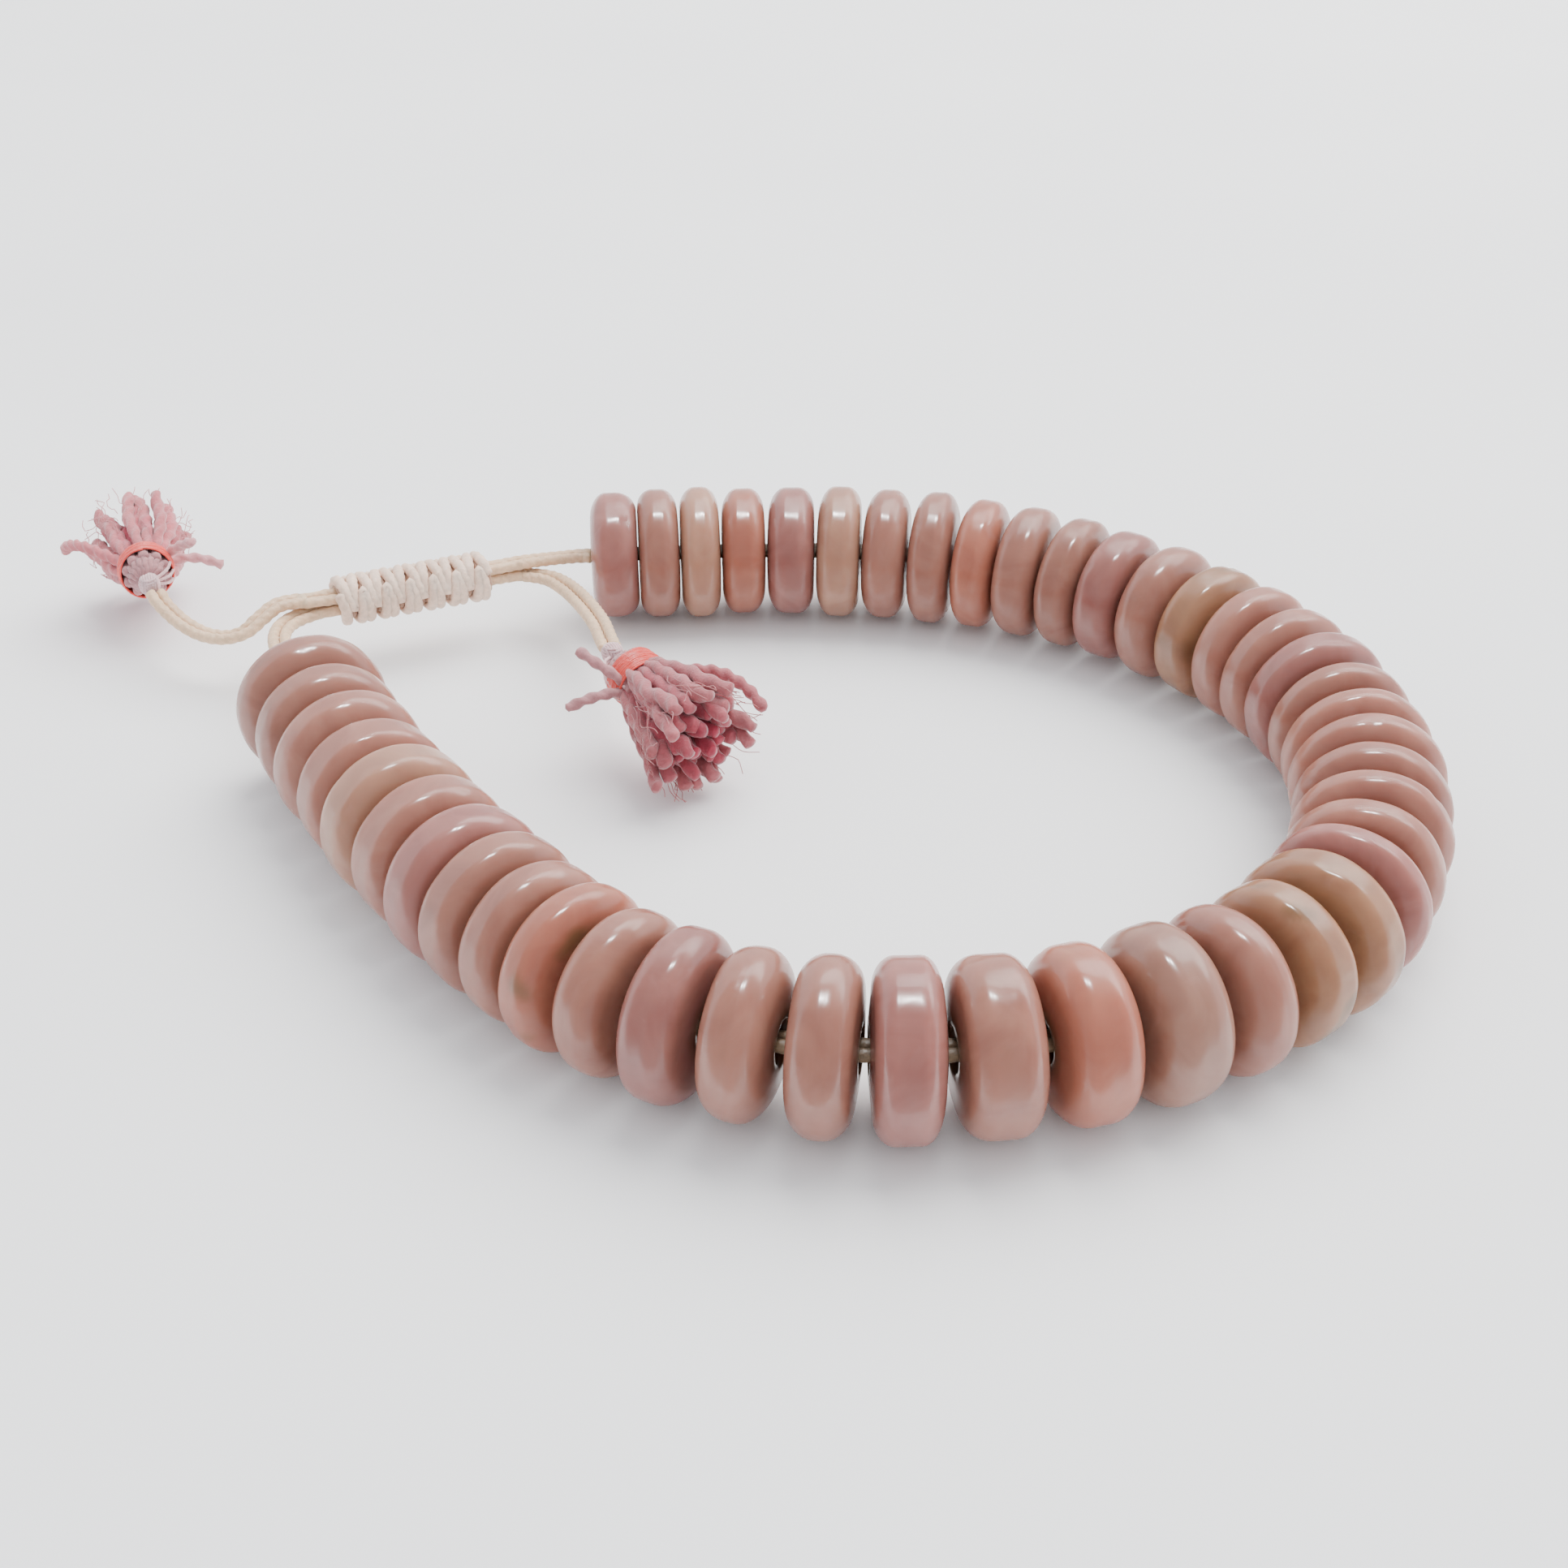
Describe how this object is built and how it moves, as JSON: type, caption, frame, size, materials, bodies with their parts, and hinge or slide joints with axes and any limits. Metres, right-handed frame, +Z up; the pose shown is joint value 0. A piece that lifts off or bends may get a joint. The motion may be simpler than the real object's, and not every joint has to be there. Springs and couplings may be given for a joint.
{
  "type": "mala prayer beads",
  "caption": "Wrist mala of rose quartz rondelle beads on a doubled cord, closed by a sliding knot, with a small yarn tassel on each cord end.",
  "frame": {"origin": "on the resting plane, under the middle of the box around the bead loop and the sliding knot", "axes": "+Z up from the surface that the beads stand on, +X to the right along the loop's longer side, +Y away from the near side, so that the knot closes the loop at the far left"},
  "size_m": [0.0982, 0.0711, 0.0103],
  "materials": {
    "rose_quartz": "tumbled, milky and translucent, glossy",
    "waxed_cord": "waxed cotton, two strands side by side",
    "knot_cord": "waxed cotton, tightly knotted",
    "rose_yarn": "soft twisted cotton yarn",
    "coral_thread": "silky thread, close wound",
    "tie_thread": "thin twisted thread"
  },
  "bodies": {
    "string": {"string_cord": "waxed_cord", "left_tail_cord": "waxed_cord", "right_tail_cord": "waxed_cord"},
    "bead_01": {"bead_01": "rose_quartz"},
    "bead_02": {"bead_02": "rose_quartz"},
    "bead_03": {"bead_03": "rose_quartz"},
    "bead_04": {"bead_04": "rose_quartz"},
    "bead_05": {"bead_05": "rose_quartz"},
    "bead_06": {"bead_06": "rose_quartz"},
    "bead_07": {"bead_07": "rose_quartz"},
    "bead_08": {"bead_08": "rose_quartz"},
    "bead_09": {"bead_09": "rose_quartz"},
    "bead_10": {"bead_10": "rose_quartz"},
    "bead_11": {"bead_11": "rose_quartz"},
    "bead_12": {"bead_12": "rose_quartz"},
    "bead_13": {"bead_13": "rose_quartz"},
    "bead_14": {"bead_14": "rose_quartz"},
    "bead_15": {"bead_15": "rose_quartz"},
    "bead_16": {"bead_16": "rose_quartz"},
    "bead_17": {"bead_17": "rose_quartz"},
    "bead_18": {"bead_18": "rose_quartz"},
    "bead_19": {"bead_19": "rose_quartz"},
    "bead_20": {"bead_20": "rose_quartz"},
    "bead_21": {"bead_21": "rose_quartz"},
    "bead_22": {"bead_22": "rose_quartz"},
    "bead_23": {"bead_23": "rose_quartz"},
    "bead_24": {"bead_24": "rose_quartz"},
    "bead_25": {"bead_25": "rose_quartz"},
    "bead_26": {"bead_26": "rose_quartz"},
    "bead_27": {"bead_27": "rose_quartz"},
    "bead_28": {"bead_28": "rose_quartz"},
    "bead_29": {"bead_29": "rose_quartz"},
    "bead_30": {"bead_30": "rose_quartz"},
    "bead_31": {"bead_31": "rose_quartz"},
    "bead_32": {"bead_32": "rose_quartz"},
    "bead_33": {"bead_33": "rose_quartz"},
    "bead_34": {"bead_34": "rose_quartz"},
    "bead_35": {"bead_35": "rose_quartz"},
    "bead_36": {"bead_36": "rose_quartz"},
    "bead_37": {"bead_37": "rose_quartz"},
    "bead_38": {"bead_38": "rose_quartz"},
    "bead_39": {"bead_39": "rose_quartz"},
    "bead_40": {"bead_40": "rose_quartz"},
    "bead_41": {"bead_41": "rose_quartz"},
    "bead_42": {"bead_42": "rose_quartz"},
    "bead_43": {"bead_43": "rose_quartz"},
    "bead_44": {"bead_44": "rose_quartz"},
    "bead_45": {"bead_45": "rose_quartz"},
    "knot": {"sliding_knot": "knot_cord"},
    "left_tie": {"left_tie_thread": "tie_thread"},
    "left_tassel": {"left_tassel_head": "rose_yarn", "left_neck_wrap": "coral_thread", "left_tassel_skirt": "rose_yarn"},
    "right_tie": {"right_tie_thread": "tie_thread"},
    "right_tassel": {"right_tassel_head": "rose_yarn", "right_neck_wrap": "coral_thread", "right_tassel_skirt": "rose_yarn"}
  },
  "joints": [
    {"name": "knot_slide", "type": "slide", "parent": "string", "child": "knot", "axis": [0.9205, 0.3907, 0], "range_m": [-0.0009, 0.0011]},
    {"name": "left_tassel_swing", "type": "hinge", "parent": "string", "child": "left_tie", "pos_m": [-0.04988, 0.02258, 0.0061], "axis": [0, 0, 1], "range_deg": [-25, 25]},
    {"name": "left_tassel_lift", "type": "hinge", "parent": "left_tie", "child": "left_tassel", "pos_m": [-0.04988, 0.02258, 0.0061], "axis": [0.9397, 0.342, 0], "range_deg": [0, 75]},
    {"name": "right_tassel_swing", "type": "hinge", "parent": "string", "child": "right_tie", "pos_m": [-0.01457, 0.01183, 0.0061], "axis": [0, 0, 1], "range_deg": [-25, 25]},
    {"name": "right_tassel_lift", "type": "hinge", "parent": "right_tie", "child": "right_tassel", "pos_m": [-0.01457, 0.01183, 0.0061], "axis": [-0.829, -0.5592, 0], "range_deg": [0, 75]},
    {"name": "bead_01_spin", "type": "hinge", "parent": "string", "child": "bead_01", "pos_m": [-0.01572, 0.02951, 0.00515], "axis": [0.9962, 0.0872, 0], "continuous": true},
    {"name": "bead_02_spin", "type": "hinge", "parent": "string", "child": "bead_02", "pos_m": [-0.01231, 0.02981, 0.00515], "axis": [0.9962, 0.0872, 0], "continuous": true},
    {"name": "bead_03_spin", "type": "hinge", "parent": "string", "child": "bead_03", "pos_m": [-0.00911, 0.03006, 0.00515], "axis": [0.9976, 0.0698, 0], "continuous": true},
    {"name": "bead_04_spin", "type": "hinge", "parent": "string", "child": "bead_04", "pos_m": [-0.00574, 0.03024, 0.00515], "axis": [0.9994, 0.0349, 0], "continuous": true},
    {"name": "bead_05_spin", "type": "hinge", "parent": "string", "child": "bead_05", "pos_m": [-0.00201, 0.03027, 0.00515], "axis": [0.9998, -0.0175, 0], "continuous": true},
    {"name": "bead_06_spin", "type": "hinge", "parent": "string", "child": "bead_06", "pos_m": [0.00173, 0.03011, 0.00515], "axis": [0.9976, -0.0698, 0], "continuous": true},
    {"name": "bead_07_spin", "type": "hinge", "parent": "string", "child": "bead_07", "pos_m": [0.0054, 0.02972, 0.00515], "axis": [0.9903, -0.1392, 0], "continuous": true},
    {"name": "bead_08_spin", "type": "hinge", "parent": "string", "child": "bead_08", "pos_m": [0.00907, 0.02904, 0.00515], "axis": [0.9744, -0.225, 0], "continuous": true},
    {"name": "bead_09_spin", "type": "hinge", "parent": "string", "child": "bead_09", "pos_m": [0.01265, 0.02802, 0.00515], "axis": [0.9455, -0.3256, 0], "continuous": true},
    {"name": "bead_10_spin", "type": "hinge", "parent": "string", "child": "bead_10", "pos_m": [0.01609, 0.02663, 0.00515], "axis": [0.9063, -0.4226, 0], "continuous": true},
    {"name": "bead_11_spin", "type": "hinge", "parent": "string", "child": "bead_11", "pos_m": [0.01941, 0.02483, 0.00515], "axis": [0.848, -0.5299, 0], "continuous": true},
    {"name": "bead_12_spin", "type": "hinge", "parent": "string", "child": "bead_12", "pos_m": [0.0225, 0.02266, 0.00515], "axis": [0.788, -0.6157, 0], "continuous": true},
    {"name": "bead_13_spin", "type": "hinge", "parent": "string", "child": "bead_13", "pos_m": [0.02556, 0.01993, 0.00515], "axis": [0.7071, -0.7071, 0], "continuous": true},
    {"name": "bead_14_spin", "type": "hinge", "parent": "string", "child": "bead_14", "pos_m": [0.02835, 0.01679, 0.00515], "axis": [0.6157, -0.788, 0], "continuous": true},
    {"name": "bead_15_spin", "type": "hinge", "parent": "string", "child": "bead_15", "pos_m": [0.0306, 0.01353, 0.00515], "axis": [0.515, -0.8572, 0], "continuous": true},
    {"name": "bead_16_spin", "type": "hinge", "parent": "string", "child": "bead_16", "pos_m": [0.03233, 0.01021, 0.00515], "axis": [0.4067, -0.9135, 0], "continuous": true},
    {"name": "bead_17_spin", "type": "hinge", "parent": "string", "child": "bead_17", "pos_m": [0.03364, 0.0067, 0.00515], "axis": [0.2924, -0.9563, 0], "continuous": true},
    {"name": "bead_18_spin", "type": "hinge", "parent": "string", "child": "bead_18", "pos_m": [0.03448, 0.0031, 0.00515], "axis": [0.1564, -0.9877, 0], "continuous": true},
    {"name": "bead_19_spin", "type": "hinge", "parent": "string", "child": "bead_19", "pos_m": [0.03479, -0.0004, 0.00515], "axis": [0.0175, -0.9998, 0], "continuous": true},
    {"name": "bead_20_spin", "type": "hinge", "parent": "string", "child": "bead_20", "pos_m": [0.03464, -0.00382, 0.00515], "axis": [-0.1045, -0.9945, 0], "continuous": true},
    {"name": "bead_21_spin", "type": "hinge", "parent": "string", "child": "bead_21", "pos_m": [0.03411, -0.00717, 0.00515], "axis": [-0.2079, -0.9781, 0], "continuous": true},
    {"name": "bead_22_spin", "type": "hinge", "parent": "string", "child": "bead_22", "pos_m": [0.03323, -0.01045, 0.00515], "axis": [-0.309, -0.9511, 0], "continuous": true},
    {"name": "bead_23_spin", "type": "hinge", "parent": "string", "child": "bead_23", "pos_m": [0.03198, -0.01363, 0.00515], "axis": [-0.4226, -0.9063, 0], "continuous": true},
    {"name": "bead_24_spin", "type": "hinge", "parent": "string", "child": "bead_24", "pos_m": [0.03027, -0.01671, 0.00515], "axis": [-0.5446, -0.8387, 0], "continuous": true},
    {"name": "bead_25_spin", "type": "hinge", "parent": "string", "child": "bead_25", "pos_m": [0.02796, -0.01975, 0.00515], "axis": [-0.6561, -0.7547, 0], "continuous": true},
    {"name": "bead_26_spin", "type": "hinge", "parent": "string", "child": "bead_26", "pos_m": [0.02504, -0.02262, 0.00515], "axis": [-0.766, -0.6428, 0], "continuous": true},
    {"name": "bead_27_spin", "type": "hinge", "parent": "string", "child": "bead_27", "pos_m": [0.02176, -0.025, 0.00515], "axis": [-0.848, -0.5299, 0], "continuous": true},
    {"name": "bead_28_spin", "type": "hinge", "parent": "string", "child": "bead_28", "pos_m": [0.01778, -0.02709, 0.00515], "axis": [-0.9135, -0.4067, 0], "continuous": true},
    {"name": "bead_29_spin", "type": "hinge", "parent": "string", "child": "bead_29", "pos_m": [0.01335, -0.02875, 0.00515], "axis": [-0.9563, -0.2924, 0], "continuous": true},
    {"name": "bead_30_spin", "type": "hinge", "parent": "string", "child": "bead_30", "pos_m": [0.00861, -0.02979, 0.00515], "axis": [-0.9903, -0.1392, 0], "continuous": true},
    {"name": "bead_31_spin", "type": "hinge", "parent": "string", "child": "bead_31", "pos_m": [0.00398, -0.03013, 0.00515], "axis": [-1, 0, 0], "continuous": true},
    {"name": "bead_32_spin", "type": "hinge", "parent": "string", "child": "bead_32", "pos_m": [-0.00036, -0.0298, 0.00515], "axis": [-0.9877, 0.1564, 0], "continuous": true},
    {"name": "bead_33_spin", "type": "hinge", "parent": "string", "child": "bead_33", "pos_m": [-0.00444, -0.02882, 0.00515], "axis": [-0.9511, 0.309, 0], "continuous": true},
    {"name": "bead_34_spin", "type": "hinge", "parent": "string", "child": "bead_34", "pos_m": [-0.00821, -0.02727, 0.00515], "axis": [-0.891, 0.454, 0], "continuous": true},
    {"name": "bead_35_spin", "type": "hinge", "parent": "string", "child": "bead_35", "pos_m": [-0.01149, -0.02527, 0.00515], "axis": [-0.809, 0.5878, 0], "continuous": true},
    {"name": "bead_36_spin", "type": "hinge", "parent": "string", "child": "bead_36", "pos_m": [-0.01424, -0.02301, 0.00515], "axis": [-0.7314, 0.682, 0], "continuous": true},
    {"name": "bead_37_spin", "type": "hinge", "parent": "string", "child": "bead_37", "pos_m": [-0.01667, -0.02057, 0.00515], "axis": [-0.682, 0.7314, 0], "continuous": true},
    {"name": "bead_38_spin", "type": "hinge", "parent": "string", "child": "bead_38", "pos_m": [-0.01905, -0.01788, 0.00515], "axis": [-0.6428, 0.766, 0], "continuous": true},
    {"name": "bead_39_spin", "type": "hinge", "parent": "string", "child": "bead_39", "pos_m": [-0.02147, -0.01489, 0.00515], "axis": [-0.6157, 0.788, 0], "continuous": true},
    {"name": "bead_40_spin", "type": "hinge", "parent": "string", "child": "bead_40", "pos_m": [-0.02391, -0.01164, 0.00515], "axis": [-0.5878, 0.809, 0], "continuous": true},
    {"name": "bead_41_spin", "type": "hinge", "parent": "string", "child": "bead_41", "pos_m": [-0.02629, -0.00825, 0.00515], "axis": [-0.5592, 0.829, 0], "continuous": true},
    {"name": "bead_42_spin", "type": "hinge", "parent": "string", "child": "bead_42", "pos_m": [-0.02856, -0.00475, 0.00515], "axis": [-0.5299, 0.848, 0], "continuous": true},
    {"name": "bead_43_spin", "type": "hinge", "parent": "string", "child": "bead_43", "pos_m": [-0.03071, -0.00118, 0.00515], "axis": [-0.5, 0.866, 0], "continuous": true},
    {"name": "bead_44_spin", "type": "hinge", "parent": "string", "child": "bead_44", "pos_m": [-0.03273, 0.00247, 0.00515], "axis": [-0.4695, 0.8829, 0], "continuous": true},
    {"name": "bead_45_spin", "type": "hinge", "parent": "string", "child": "bead_45", "pos_m": [-0.03464, 0.00622, 0.00515], "axis": [-0.4384, 0.8988, 0], "continuous": true}
  ]
}
